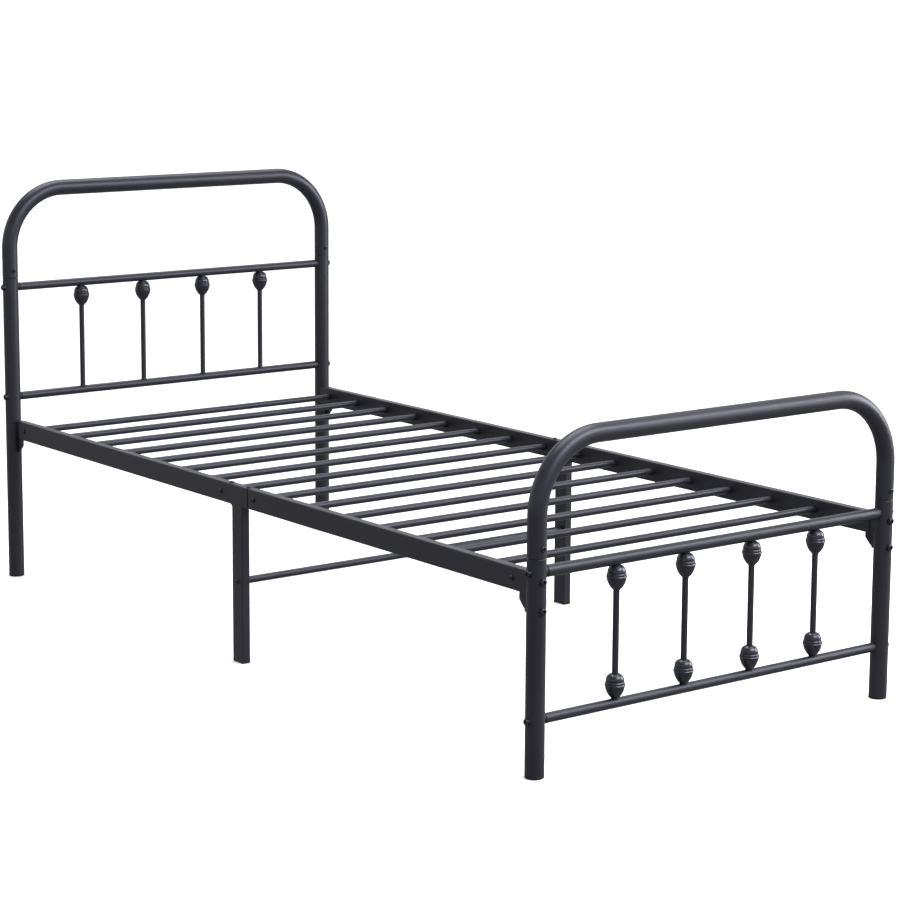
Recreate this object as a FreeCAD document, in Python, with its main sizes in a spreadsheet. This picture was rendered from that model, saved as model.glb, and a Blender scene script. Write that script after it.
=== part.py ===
import FreeCAD, Part
import Sketcher
import math
import os

# Single metal bed frame: a tube headboard and a lower tube footboard, joined by
# two side rails that are each made of two halves, with cross slats, two centre
# legs and a cross bar.
#
# Frame: millimetres, +Z up, origin on the floor under the middle of the bed.
# The head end is at +Y, the foot end at -Y, and X runs across the bed.

doc = FreeCAD.newDocument("bed_frame")
sheet = doc.addObject("Spreadsheet::Sheet", "sizes")
Vector = FreeCAD.Vector
FULL_TURN = 360

# ---------------------------------------------------------------- sizes

DRIVING_SIZES = [
    ("post_span", 930, "across the bed, post axis to post axis"),
    ("post_run", 2050, "along the bed, post axis to post axis"),
    ("post_dia", 38, "post and arch tube, outside"),
    ("post_wall", 1.5, "post and arch tube, wall"),
    ("cap_lip", 5, "lip of a post cap, under the tube"),
    ("cap_wall", 2, "wall of the plug on a post cap"),
    ("plug_depth", 22, "how far a cap reaches into its tube"),
    ("head_seam", 750, "height where the head arch meets its posts"),
    ("foot_seam", 425, "height where the foot arch meets its posts"),
    ("head_apex", 966, "height of the head arch's tube axis"),
    ("foot_apex", 647, "height of the foot arch's tube axis"),
    ("bend_radius", 145, "arch bend, on the tube axis"),
    ("sleeve_reach", 60, "how far an arch sleeve reaches past the seam"),
    ("sleeve_wall", 2, "arch sleeve, wall"),
    ("screw_rise", 20, "arch screw above the seam"),
    ("head_top_rail_z", 727, "height of the headboard's top rail"),
    ("head_low_rail_z", 454, "height of the headboard's bottom rail"),
    ("foot_top_rail_z", 397, "height of the footboard's top rail"),
    ("foot_low_rail_z", 112, "height of the footboard's bottom rail"),
    ("panel_dia", 20, "panel rail tube, outside"),
    ("panel_wall", 1.2, "panel rail tube, wall"),
    ("thick_panel_dia", 24, "the footboard's top rail, outside"),
    ("panel_gap", 3, "gap between a post and the end of a panel rail"),
    ("plug_length", 22, "how far a threaded plug reaches into a rail"),
    ("spindle_dia", 12.7, "spindle tube, outside"),
    ("spindle_wall", 1, "spindle tube, wall"),
    ("spindle_pitch", 178, "spindle to spindle"),
    ("knob_radius", 20.5, "knob, at its widest ring"),
    ("knob_height", 49, "knob, overall"),
    ("rail_face", 468, "outer face of a side rail, from the middle"),
    ("rail_width", 20, "side rail tube, across the bed"),
    ("rail_height", 45, "side rail tube, upright"),
    ("rail_wall", 1.5, "side rail tube, wall"),
    ("rail_corner", 2, "side rail tube, outer corner radius"),
    ("rail_base", 351, "height of a side rail's underside"),
    ("rail_stop", 25, "gap from the post axis to a side rail's end"),
    ("slat_dia", 16, "slat tube, outside"),
    ("slat_wall", 1, "slat tube, wall"),
    ("slat_pitch", 129, "slat to slat"),
    ("slat_socket", 10, "how far a plain slat reaches into a side rail"),
    ("slat_play", 0.4, "a slat's hole over the slat, on the diameter"),
    ("insert_length", 18, "threaded insert in the end of a bolted tube"),
    ("steel_plate", 3, "bracket steel, wing and gusset"),
    ("flange_plate", 5, "bracket steel on the post, tapped for the bolts"),
    ("flange_wrap", 11, "how far the flange's sides reach back round the post"),
    ("bracket_base", 319, "height of a bracket's lower end"),
    ("bracket_height", 75, "bracket, upright"),
    ("bracket_reach", 95, "bracket, from the post axis along the rail"),
    ("flange_half", 9, "half a bracket's width below the rail"),
    ("wing_play", 0.5, "gap round a bracket's wing inside the rail"),
    ("gusset_reach", 49, "gusset, from the post axis along the rail"),
    ("gusset_drop", 14, "gusset's straight edge below the rail"),
    ("gusset_toe", 11, "gusset past the flange, at its lower end"),
    ("upper_bolt_z", 382, "height of a bracket's upper bolt"),
    ("lower_bolt_z", 326, "height of a bracket's lower bolt"),
    ("foot_bolt_inset", 70, "rail bolt at the foot end, from the post axis"),
    ("leg_width", 40, "centre leg tube, along the bed"),
    ("leg_wall", 1.5, "centre leg tube, wall"),
    ("leg_cap_lip", 4, "lip of a centre leg's cap"),
    ("head_half", 41, "half the length of a centre leg's crosshead"),
    ("joint_gap", 3, "gap between a crosshead and the foot half of a rail"),
    ("weld_radius", 8, "rounded corner between leg and crosshead"),
    ("stub_half", 95, "half the length of the stub inside a joint"),
    ("stub_wall", 1.5, "joint stub, wall"),
    ("stub_screw_y", 34, "screw on top of a joint, from the middle"),
    ("cross_bar_z", 182, "height of the cross bar"),
    ("cross_bar_dia", 16, "cross bar tube, outside"),
    ("cross_bar_wall", 1.2, "cross bar tube, wall"),
    ("large_bolt", 8, "M8 shank"),
    ("large_head", 14, "M8 button head, across"),
    ("large_head_rise", 4.2, "M8 button head, height"),
    ("large_key", 5, "M8 button head, key across flats"),
    ("small_bolt", 6, "M6 shank"),
    ("small_head", 11.5, "M6 button head, across"),
    ("small_head_rise", 3.3, "M6 button head, height"),
    ("small_key", 4, "M6 button head, key across flats"),
    ("washer_dia", 17, "saddle washer, across"),
    ("washer_rise", 1.2, "saddle washer at its middle"),
    ("small_nut", 10, "M6 nut, across flats"),
    ("small_nut_height", 5, "M6 nut"),
    ("screw_show", 3, "arch or joint screw past its sleeve or stub"),
    ("rim", 0.8, "chamfer on a visible tube end"),
]
SPINDLES = 4
HEAD_HALF_SLATS = 8
FOOT_HALF_SLATS = 7


class Size:
    """A length that carries its value in mm and the sheet expression behind it."""

    def __init__(self, value, text):
        self.value = value
        self.text = text

    @staticmethod
    def of(thing):
        if isinstance(thing, Size):
            return thing
        return Size(float(thing), "%s" % thing)

    def __add__(self, other):
        other = Size.of(other)
        return Size(self.value + other.value, "(%s + %s)" % (self.text, other.text))

    def __sub__(self, other):
        other = Size.of(other)
        return Size(self.value - other.value, "(%s - %s)" % (self.text, other.text))

    def __mul__(self, other):
        other = Size.of(other)
        return Size(self.value * other.value, "(%s * %s)" % (self.text, other.text))

    def __truediv__(self, other):
        other = Size.of(other)
        return Size(self.value / other.value, "(%s / %s)" % (self.text, other.text))

    def __neg__(self):
        return Size(-self.value, "(0 - %s)" % self.text)

    __rmul__ = __mul__


class Sizes:
    """The sheet's cells by name, such as size.post_dia."""


size = Sizes()
for row, (alias, value, meaning) in enumerate(DRIVING_SIZES, start=1):
    sheet.set("A%d" % row, alias)
    sheet.set("B%d" % row, "%s" % value)
    sheet.set("C%d" % row, meaning)
    sheet.setAlias("B%d" % row, alias)
    setattr(size, alias, Size(float(value), "sizes.%s" % alias))
doc.recompute()

ZERO = Size.of(0)
post_x = size.post_span / 2
post_y = size.post_run / 2
post_radius = size.post_dia / 2
rail_x = size.rail_face - size.rail_width / 2
rail_inner = size.rail_face - size.rail_width
rail_mid_z = size.rail_base + size.rail_height / 2
rail_top = size.rail_base + size.rail_height
SIDES = (("left", -1), ("right", 1))
ENDS = (("head", 1), ("foot", -1))

# ---------------------------------------------------------------- building blocks

exports = []


def bind(thing, path, length):
    """Drive a property of an object from the sheet."""
    thing.setExpression(path, Size.of(length).text)


def place(thing, x=ZERO, y=ZERO, z=ZERO, turn=FreeCAD.Rotation()):
    """Put an object at a point that the sheet drives, turned as given."""
    spot = [Size.of(length) for length in (x, y, z)]
    base = Vector(*[length.value for length in spot])
    thing.Placement = FreeCAD.Placement(base, turn)
    for letter, length in zip("xyz", spot):
        bind(thing, "Placement.Base." + letter, length)


def new_body(label, keep=True):
    body = doc.addObject("PartDesign::Body", label)
    body.Label = label
    if keep:
        exports.append(body)
    return body


def new_sketch(body, role):
    """A sketch on one of the body's own origin planes: XY, XZ or YZ."""
    sketch = body.newObject("Sketcher::SketchObject", body.Label + "_sketch")
    plane = [f for f in body.Origin.OriginFeatures if f.Role == role + "_Plane"][0]
    sketch.AttachmentSupport = [(plane, "")]
    sketch.MapMode = "FlatFace"
    return sketch


def pin_point(sketch, curve, end, x, y):
    """Hold one point of a curve at sheet-driven distances from the origin."""
    for kind, length in (("DistanceX", x), ("DistanceY", y)):
        index = sketch.addConstraint(
            Sketcher.Constraint(kind, -1, 1, curve, end, length.value))
        bind(sketch, "Constraints[%d]" % index, length)


def add_circle(sketch, radius, x=ZERO, y=ZERO):
    x = Size.of(x)
    y = Size.of(y)
    circle = Part.Circle(Vector(x.value, y.value, 0), Vector(0, 0, 1), radius.value)
    curve = sketch.addGeometry(circle, False)
    pin_point(sketch, curve, 3, x, y)
    index = sketch.addConstraint(Sketcher.Constraint("Radius", curve, radius.value))
    bind(sketch, "Constraints[%d]" % index, radius)


def add_arc(sketch, start, stop, radius, left_turn):
    """An arc between two points, its centre to the left or right of the way."""
    x0, y0 = [Size.of(length) for length in start]
    x1, y1 = [Size.of(length) for length in stop]
    ahead = Vector(x1.value - x0.value, y1.value - y0.value, 0)
    middle = Vector((x0.value + x1.value) / 2, (y0.value + y1.value) / 2, 0)
    side = Vector(-ahead.y, ahead.x, 0).normalize()
    if not left_turn:
        side = side * -1
    away = math.sqrt(radius.value ** 2 - (ahead.Length / 2) ** 2)
    centre = middle + side * away
    circle = Part.Circle(centre, Vector(0, 0, 1), radius.value)
    ends = [Vector(x0.value, y0.value, 0), Vector(x1.value, y1.value, 0)]
    if not left_turn:
        ends.reverse()
    first, last = [circle.parameter(point) for point in ends]
    curve = sketch.addGeometry(Part.ArcOfCircle(circle, first, last), False)
    pins = [(x0, y0), (x1, y1)]
    if not left_turn:
        pins.reverse()
    for end, (x, y) in zip((1, 2), pins):
        pin_point(sketch, curve, end, x, y)
    index = sketch.addConstraint(Sketcher.Constraint("Radius", curve, radius.value))
    bind(sketch, "Constraints[%d]" % index, radius)


def add_line(sketch, start, stop):
    spots = [[Size.of(length) for length in point] for point in (start, stop)]
    ends = [Vector(x.value, y.value, 0) for x, y in spots]
    curve = sketch.addGeometry(Part.LineSegment(*ends), False)
    for end, (x, y) in zip((1, 2), spots):
        pin_point(sketch, curve, end, x, y)


def add_outline(sketch, points):
    """A closed outline of straight lines through the points."""
    for start, stop in zip(points, points[1:] + points[:1]):
        add_line(sketch, start, stop)


def add_rectangle(sketch, width, height, corner=None, x=ZERO, y=ZERO):
    """A rectangle about a point, with rounded corners if a radius is given."""
    w = width / 2
    h = height / 2
    signs = [(-1, -1), (1, -1), (1, 1), (-1, 1)]
    if corner is None:
        add_outline(sketch, [(x + w * sx, y + h * sy) for sx, sy in signs])
        return
    runs = []
    for number, (sx, sy) in enumerate(signs):
        along_x = (x + (w - corner) * sx, y + h * sy)
        along_y = (x + w * sx, y + (h - corner) * sy)
        turn = [along_y, along_x] if number % 2 == 0 else [along_x, along_y]
        runs.append(turn)
    for number, (enter, leave) in enumerate(runs):
        add_arc(sketch, enter, leave, corner, True)
        add_line(sketch, leave, runs[(number + 1) % len(runs)][0])


def pad(body, sketch, length, symmetric=False, backwards=False):
    feature = body.newObject("PartDesign::Pad", body.Label + "_pad")
    feature.Profile = sketch
    feature.SideType = "Symmetric" if symmetric else "One side"
    feature.Reversed = backwards
    bind(feature, "Length", length)
    return feature


def cut(body, sketch, symmetric=True, backwards=False):
    """Cut a sketch right through the body, and check that it took material."""
    doc.recompute()
    before = body.Shape.Volume
    feature = body.newObject("PartDesign::Pocket", body.Label + "_cut")
    feature.Profile = sketch
    feature.Type = "ThroughAll"
    feature.SideType = "Symmetric" if symmetric else "One side"
    feature.Reversed = backwards
    doc.recompute()
    if body.Shape.Volume > before - 0.1:
        raise RuntimeError("a cut missed " + body.Label)


def spin(body, sketch):
    """Turn a sketch on the XZ plane once round the Z axis."""
    feature = body.newObject("PartDesign::Revolution", body.Label + "_turn")
    feature.Profile = sketch
    feature.ReferenceAxis = (sketch, ["V_Axis"])
    feature.Angle = FULL_TURN


def ease_rims(body, radius, levels, axis="Z"):
    """Chamfer the outer rims of a tube, found by their length and level."""
    doc.recompute()
    tube = body.Tip
    names = []
    for number, edge in enumerate(tube.Shape.Edges, start=1):
        low = getattr(edge.BoundBox, axis + "Min")
        high = getattr(edge.BoundBox, axis + "Max")
        if high - low > 0.01 or abs(edge.Length - 2 * math.pi * radius.value) > 0.1:
            continue
        if any(abs(low - Size.of(level).value) < 0.01 for level in levels):
            names.append("Edge%d" % number)
    if not names:
        raise RuntimeError("no rim found on " + body.Label)
    feature = body.newObject("PartDesign::Chamfer", body.Label + "_rims")
    feature.Base = (tube, names)
    bind(feature, "Size", size.rim)


def group(label, spots):
    """One node of separate, identical solids: a master linked to each spot."""
    links = []
    for master, x, y, z, turn in spots:
        link = doc.addObject("App::Link", label + "_link")
        link.LinkedObject = master
        place(link, x, y, z, turn)
        links.append(link)
    node = doc.addObject("Part::Compound", label)
    node.Label = label
    node.Links = links
    exports.append(node)


def about_z(degrees):
    return FreeCAD.Rotation(Vector(0, 0, 1), degrees)


def facing_x(sign):
    """A fastener modelled with its head towards +X, turned to face +X or -X."""
    return about_z(0 if sign > 0 else 180)


def facing_y(sign):
    return about_z(90 if sign > 0 else -90)


def round_tube_along_x(body, radius, wall, half_length):
    sketch = new_sketch(body, "YZ")
    add_circle(sketch, radius)
    add_circle(sketch, radius - wall)
    pad(body, sketch, half_length * 2, symmetric=True)


# ---------------------------------------------------------------- arches

def build_arch(end, sign, seam, apex):
    """Head or foot arch: one tube with two bends, screwed to its sleeves."""
    body = new_body(end + "_arch")
    place(body, y=post_y * sign, z=seam)
    rise = apex - seam
    bend = size.bend_radius

    section = new_sketch(body, "XY")
    add_circle(section, post_radius, x=-post_x)
    add_circle(section, post_radius - size.post_wall, x=-post_x)

    path = new_sketch(body, "XZ")
    add_line(path, (-post_x, ZERO), (-post_x, rise - bend))
    add_arc(path, (-post_x, rise - bend), (bend - post_x, rise), bend, False)
    add_line(path, (bend - post_x, rise), (post_x - bend, rise))
    add_arc(path, (post_x - bend, rise), (post_x, rise - bend), bend, False)
    add_line(path, (post_x, rise - bend), (post_x, ZERO))

    sweep = body.newObject("PartDesign::AdditivePipe", end + "_arch_sweep")
    sweep.Profile = section
    sweep.Spine = path

    holes = new_sketch(body, "XZ")
    for side in (-1, 1):
        add_circle(holes, size.small_bolt / 2, x=post_x * side, y=size.screw_rise)
    cut(body, holes, symmetric=False, backwards=True)
    check_front_hole(body, post_x.value, size.screw_rise.value)
    ease_rims(body, post_radius, [ZERO])


def check_front_hole(body, x, z):
    """The screw holes open on the -Y side of the arch and not on the +Y side."""
    reach = post_radius.value - size.post_wall.value / 2
    base = body.Placement.Base
    front = base + Vector(x, -reach, z)
    back = base + Vector(x, reach, z)
    if body.Shape.isInside(front, 0.01, True) or not body.Shape.isInside(back, 0.01, True):
        raise RuntimeError("the screw holes of %s face the wrong way" % body.Label)


build_arch("head", 1, size.head_seam, size.head_apex)
build_arch("foot", -1, size.foot_seam, size.foot_apex)

seams = {"head": size.head_seam, "foot": size.foot_seam}
top_rails = {"head": size.head_top_rail_z, "foot": size.foot_top_rail_z}
sleeve_radius = post_radius - size.post_wall


def sleeve_master(end):
    """A tube that plugs an arch into its post, drilled for the bolts it crosses."""
    body = new_body(end + "_sleeve_master", keep=False)
    section = new_sketch(body, "XY")
    add_circle(section, sleeve_radius)
    add_circle(section, sleeve_radius - size.sleeve_wall)
    pad(body, section, size.sleeve_reach * 2, symmetric=True)
    screw_hole = new_sketch(body, "XZ")
    add_circle(screw_hole, size.small_bolt / 2, y=size.screw_rise)
    cut(body, screw_hole, symmetric=False, backwards=True)
    panel_hole = new_sketch(body, "YZ")
    add_circle(panel_hole, size.large_bolt / 2, y=top_rails[end] - seams[end])
    cut(body, panel_hole)
    return body


sleeves = {end: sleeve_master(end) for end, along in ENDS}
foot_sleeve_hole = new_sketch(sleeves["foot"], "XZ")
add_circle(foot_sleeve_hole, size.large_bolt / 2, y=size.upper_bolt_z - size.foot_seam)
cut(sleeves["foot"], foot_sleeve_hole)
group("arch_sleeves", [
    (sleeves[end], post_x * across, post_y * along, seams[end], FreeCAD.Rotation())
    for end, along in ENDS
    for side, across in SIDES])

# ---------------------------------------------------------------- posts

PANEL_RAILS = {
    "head": (("top", size.head_top_rail_z, size.panel_dia),
             ("bottom", size.head_low_rail_z, size.panel_dia)),
    "foot": (("top", size.foot_top_rail_z, size.thick_panel_dia),
             ("bottom", size.foot_low_rail_z, size.panel_dia)),
}
bracket_bolt_heights = (size.upper_bolt_z, size.lower_bolt_z)


def build_post(end, along, side, across):
    """A corner post: a round tube drilled for its panel and bracket bolts."""
    body = new_body("%s_post_%s" % (end, side))
    place(body, post_x * across, post_y * along, size.cap_lip)
    height = seams[end] - size.cap_lip
    section = new_sketch(body, "XY")
    add_circle(section, post_radius)
    add_circle(section, post_radius - size.post_wall)
    pad(body, section, height)
    across_holes = new_sketch(body, "YZ")
    for name, level, dia in PANEL_RAILS[end]:
        add_circle(across_holes, size.large_bolt / 2, y=level - size.cap_lip)
    cut(body, across_holes)
    along_holes = new_sketch(body, "XZ")
    for level in bracket_bolt_heights:
        add_circle(along_holes, size.large_bolt / 2, y=level - size.cap_lip)
    cut(body, along_holes)
    ease_rims(body, post_radius, [height])


for end, along in ENDS:
    for side, across in SIDES:
        build_post(end, along, side, across)

# Push-in foot cap: a lip with a rounded lower edge and a hollow plug.
cap = new_body("cap_master", keep=False)
cap_section = new_sketch(cap, "XZ")
cap_edge = size.cap_lip / 2
cap_top = size.cap_lip + size.plug_depth
cap_bore = sleeve_radius - size.cap_wall
cap_outline = [
    (post_radius, cap_edge),
    (post_radius, size.cap_lip),
    (sleeve_radius, size.cap_lip),
    (sleeve_radius, cap_top),
    (cap_bore, cap_top),
    (cap_bore, size.cap_lip),
    (ZERO, size.cap_lip),
    (ZERO, ZERO),
    (post_radius - cap_edge, ZERO)]
for start, stop in zip(cap_outline, cap_outline[1:]):
    add_line(cap_section, start, stop)
add_arc(cap_section, cap_outline[-1], cap_outline[0], cap_edge, True)
spin(cap, cap_section)
group("post_caps", [
    (cap, post_x * across, post_y * along, ZERO, FreeCAD.Rotation())
    for end, along in ENDS
    for side, across in SIDES])

# ---------------------------------------------------------------- panel rails and spindles

panel_half = post_x - post_radius - size.panel_gap


def build_panel_rail(end, along, name, level, dia):
    body = new_body("%s_%s_rail" % (end, name))
    place(body, y=post_y * along, z=level)
    round_tube_along_x(body, dia / 2, size.panel_wall, panel_half)
    ease_rims(body, dia / 2, [panel_half, -panel_half], axis="X")


def plug_master(label, dia):
    """A threaded end plug whose collar is cut to sit on the round post."""
    body = new_body(label, keep=False)
    section = new_sketch(body, "YZ")
    add_circle(section, dia / 2 - size.panel_wall)
    add_circle(section, size.large_bolt / 2)
    pad(body, section, post_radius + size.panel_gap + size.plug_length)
    saddle = new_sketch(body, "XY")
    add_circle(saddle, post_radius)
    cut(body, saddle)
    return body


plugs = {
    size.panel_dia: plug_master("plug_master", size.panel_dia),
    size.thick_panel_dia: plug_master("thick_plug_master", size.thick_panel_dia),
}
plug_spots = []
for end, along in ENDS:
    for name, level, dia in PANEL_RAILS[end]:
        build_panel_rail(end, along, name, level, dia)
        for side, across in SIDES:
            inwards = facing_x(-across)
            plug_spots.append((plugs[dia], post_x * across, post_y * along, level, inwards))
group("rail_end_plugs", plug_spots)


def spindle_x(number):
    """Spindles stand at even pitch about the middle of the bed."""
    return size.spindle_pitch * (number - (SPINDLES - 1) / 2)


def build_spindle(end, along, number):
    """A spindle tube, both ends coped to the round rails."""
    (_, top, top_dia), (_, low, low_dia) = PANEL_RAILS[end]
    body = new_body("%s_spindle_%d" % (end, number + 1))
    place(body, spindle_x(number), post_y * along, low)
    section = new_sketch(body, "XY")
    add_circle(section, size.spindle_dia / 2)
    add_circle(section, size.spindle_dia / 2 - size.spindle_wall)
    pad(body, section, top - low)
    for level, dia in ((ZERO, low_dia), (top - low, top_dia)):
        cope = new_sketch(body, "YZ")
        add_circle(cope, dia / 2, y=level)
        cut(body, cope)


for end, along in ENDS:
    for number in range(SPINDLES):
        build_spindle(end, along, number)


# A knob's outline from the bottom up, in parts of its radius and its height.
KNOB_OUTLINE = {
    "foot": (0.36, 0),
    "heel": (0.5, 0.07),
    "belly": (0.95, 0.5),
    "ring_low": (1, 0.52),
    "ring_high": (1, 0.55),
    "waist_low": (0.95, 0.575),
    "waist_high": (0.95, 0.625),
    "shoulder": (0.95, 0.65),
    "step": (0.9, 0.67),
    "groove": (0.87, 0.695),
    "dome_low": (0.88, 0.72),
    "dome_high": (0.5, 0.985),
    "crown": (0.4, 1),
}
KNOB_STEPS = ("belly", "ring_low", "ring_high", "waist_low", "waist_high",
              "shoulder", "step", "groove", "dome_low")
HEEL_BEND = 0.3
BELLY_BEND = 1.9
DOME_BEND = 0.66


def build_knobs(label, along, base):
    """Four turned knobs in a row, each threaded on its own spindle."""
    body = new_body(label)
    body.AllowCompound = True
    place(body, spindle_x(0), post_y * along, base)
    bore = size.spindle_dia / 2
    wide = size.knob_radius
    tall = size.knob_height
    point = {name: (wide * out, tall * up) for name, (out, up) in KNOB_OUTLINE.items()}
    section = new_sketch(body, "XZ")
    add_line(section, (bore, ZERO), point["foot"])
    add_arc(section, point["foot"], point["heel"], wide * HEEL_BEND, False)
    add_arc(section, point["heel"], point["belly"], wide * BELLY_BEND, True)
    chain = [point[name] for name in KNOB_STEPS]
    for start, stop in zip(chain, chain[1:]):
        add_line(section, start, stop)
    add_arc(section, point["dome_low"], point["dome_high"], wide * DOME_BEND, True)
    add_line(section, point["dome_high"], point["crown"])
    add_line(section, point["crown"], (bore, tall))
    add_line(section, (bore, tall), (bore, ZERO))
    spin(body, section)
    doc.recompute()
    one = body.Shape.Volume
    row = body.newObject("PartDesign::LinearPattern", label + "_row")
    row.Originals = [body.Tip]
    row.Direction = (section, ["H_Axis"])
    row.Mode = "Spacing"
    bind(row, "Offset", size.spindle_pitch)
    row.Occurrences = SPINDLES
    body.Tip = row
    doc.recompute()
    if abs(body.Shape.Volume - SPINDLES * one) > 1:
        raise RuntimeError("%s isn't %d knobs" % (label, SPINDLES))


build_knobs("head_knobs", 1,
            size.head_top_rail_z - size.panel_dia / 2 - size.knob_height)
build_knobs("foot_upper_knobs", -1,
            size.foot_top_rail_z - size.thick_panel_dia / 2 - size.knob_height)
build_knobs("foot_lower_knobs", -1, size.foot_low_rail_z + size.panel_dia / 2)

# ---------------------------------------------------------------- side rails and slats

rail_end_y = post_y - size.rail_stop
rail_starts = {"head": size.head_half, "foot": size.head_half + size.joint_gap}
foot_bolt_y = size.foot_bolt_inset - post_y


def slat_y(number):
    """Slat 1 is at the head. Slats 8 and 9 stand evenly about the centre joint."""
    return size.slat_pitch * (HEAD_HALF_SLATS + 0.5 - number)


def is_bolted(number):
    """The end slat of the head half and the two beside the joint are bolted."""
    return number in (1, HEAD_HALF_SLATS, HEAD_HALF_SLATS + 1)


HALF_SLATS = {
    1: range(1, HEAD_HALF_SLATS + 1),
    -1: range(HEAD_HALF_SLATS + 1, HEAD_HALF_SLATS + FOOT_HALF_SLATS + 1),
}


def build_side_rail(end, along, side, across):
    """Half a side rail: a rectangular tube with slat sockets in its inner wall."""
    body = new_body("%s_%s_side_rail" % (end, side))
    start_y = rail_starts[end]
    middle_y = (rail_end_y + start_y) / 2 * along
    place(body, rail_x * across, middle_y, rail_mid_z)
    section = new_sketch(body, "XZ")
    wall = size.rail_wall
    add_rectangle(section, size.rail_width, size.rail_height, size.rail_corner)
    add_rectangle(section, size.rail_width - wall * 2, size.rail_height - wall * 2)
    pad(body, section, rail_end_y - start_y, symmetric=True)

    sockets = new_sketch(body, "YZ")
    for number in HALF_SLATS[along]:
        if not is_bolted(number):
            add_circle(sockets, (size.slat_dia + size.slat_play) / 2, x=slat_y(number) - middle_y)
    cut(body, sockets, symmetric=False, backwards=across < 0)
    check_socket(body, across)

    bolts = new_sketch(body, "YZ")
    levels = [slat_y(number) for number in HALF_SLATS[along] if is_bolted(number)]
    if along < 0:
        levels.append(foot_bolt_y)
    for level in levels:
        add_circle(bolts, size.small_bolt / 2, x=level - middle_y)
    cut(body, bolts)


def check_socket(body, across):
    """Slat sockets open on the wall towards the middle of the bed only."""
    faces = [face for face in body.Shape.Faces if isinstance(face.Surface, Part.Cylinder)]
    sockets = [face for face in faces
               if abs(face.Surface.Radius - (size.slat_dia.value + size.slat_play.value) / 2) < 0.01]
    for face in sockets:
        if abs(face.CenterOfMass.x) > rail_x.value:
            raise RuntimeError("a slat socket of %s is in the outer wall" % body.Label)


for end, along in ENDS:
    for side, across in SIDES:
        build_side_rail(end, along, side, across)


def slat_half(number):
    """Half of a slat's length: a bolted slat stops at the rail, others go in."""
    if is_bolted(number):
        return rail_inner
    return rail_inner + size.slat_socket


for number in range(1, HEAD_HALF_SLATS + FOOT_HALF_SLATS + 1):
    slat = new_body("slat_%02d" % number)
    place(slat, y=slat_y(number), z=rail_mid_z)
    round_tube_along_x(slat, size.slat_dia / 2, size.slat_wall, slat_half(number))


def insert_master(label, dia):
    """A threaded insert that fills the end of a bolted tube, from x = 0 inwards."""
    body = new_body(label, keep=False)
    section = new_sketch(body, "YZ")
    add_circle(section, dia / 2)
    add_circle(section, size.small_bolt / 2)
    pad(body, section, size.insert_length, backwards=True)
    return body


slat_insert = insert_master("slat_insert_master", size.slat_dia - size.slat_wall * 2)
bar_insert = insert_master("bar_insert_master", size.cross_bar_dia - size.cross_bar_wall * 2)
insert_spots = [
    (slat_insert, slat_half(number) * across, slat_y(number), rail_mid_z, facing_x(across))
    for number in (1, HEAD_HALF_SLATS, HEAD_HALF_SLATS + 1)
    for side, across in SIDES]
insert_spots += [
    (bar_insert, rail_inner * across, ZERO, size.cross_bar_z, facing_x(across))
    for side, across in SIDES]
group("threaded_inserts", insert_spots)

# ---------------------------------------------------------------- corner brackets

def build_bracket(end, along, side, across):
    """A welded bracket: a tapped flange on the post, a wing in the rail, a gusset."""
    body = new_body("%s_bracket_%s" % (end, side))
    place(body, post_x * across, post_y * along, size.bracket_base)
    near = post_radius
    face = near + size.flange_plate
    wing_side = post_x - rail_inner - size.rail_wall
    rail_under = size.rail_base - size.bracket_base
    backwards = along < 0

    flange = new_sketch(body, "XZ")
    bind(flange, "AttachmentOffset.Base.z", (near - size.flange_wrap) * along)
    inwards = -across
    add_outline(flange, [
        (size.flange_half * -inwards, ZERO),
        (size.flange_half * inwards, ZERO),
        (size.flange_half * inwards, rail_under),
        (wing_side * inwards, rail_under),
        (wing_side * inwards, size.bracket_height),
        (size.flange_half * -inwards, size.bracket_height)])
    pad(body, flange, size.flange_plate + size.flange_wrap, backwards=backwards)
    saddle = new_sketch(body, "XY")
    add_circle(saddle, post_radius)
    cut(body, saddle)

    post_holes = new_sketch(body, "XZ")
    for level in bracket_bolt_heights:
        add_circle(post_holes, size.large_bolt / 2, y=level - size.bracket_base)
    cut(body, post_holes)

    wing = new_sketch(body, "XY")
    wing_base = rail_under + size.rail_wall + size.wing_play
    bind(wing, "AttachmentOffset.Base.z", wing_base)
    add_outline(wing, [
        (x * inwards, y * -along) for x, y in (
            (wing_side - size.steel_plate, face - size.steel_plate),
            (wing_side, face - size.steel_plate),
            (wing_side, size.bracket_reach),
            (wing_side - size.steel_plate, size.bracket_reach))])
    pad(body, wing, size.rail_height - (size.rail_wall + size.wing_play) * 2)

    rail_hole = new_sketch(body, "YZ")
    hole_y = slat_y(1) if along > 0 else foot_bolt_y
    add_circle(rail_hole, size.small_bolt / 2,
               x=hole_y - post_y * along, y=rail_mid_z - size.bracket_base)
    cut(body, rail_hole)

    gusset = new_sketch(body, "YZ")
    add_outline(gusset, [
        (y * -along, z) for y, z in (
            (face, ZERO),
            (face + size.gusset_toe, size.gusset_toe / 3),
            (size.gusset_reach, rail_under - size.gusset_drop),
            (size.gusset_reach, rail_under),
            (face, rail_under))])
    pad(body, gusset, size.steel_plate, symmetric=True)
    doc.recompute()
    if len(body.Shape.Solids) != 1:
        raise RuntimeError(body.Label + " isn't one solid")


for end, along in ENDS:
    for side, across in SIDES:
        build_bracket(end, along, side, across)

# ---------------------------------------------------------------- centre legs and cross bar

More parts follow.
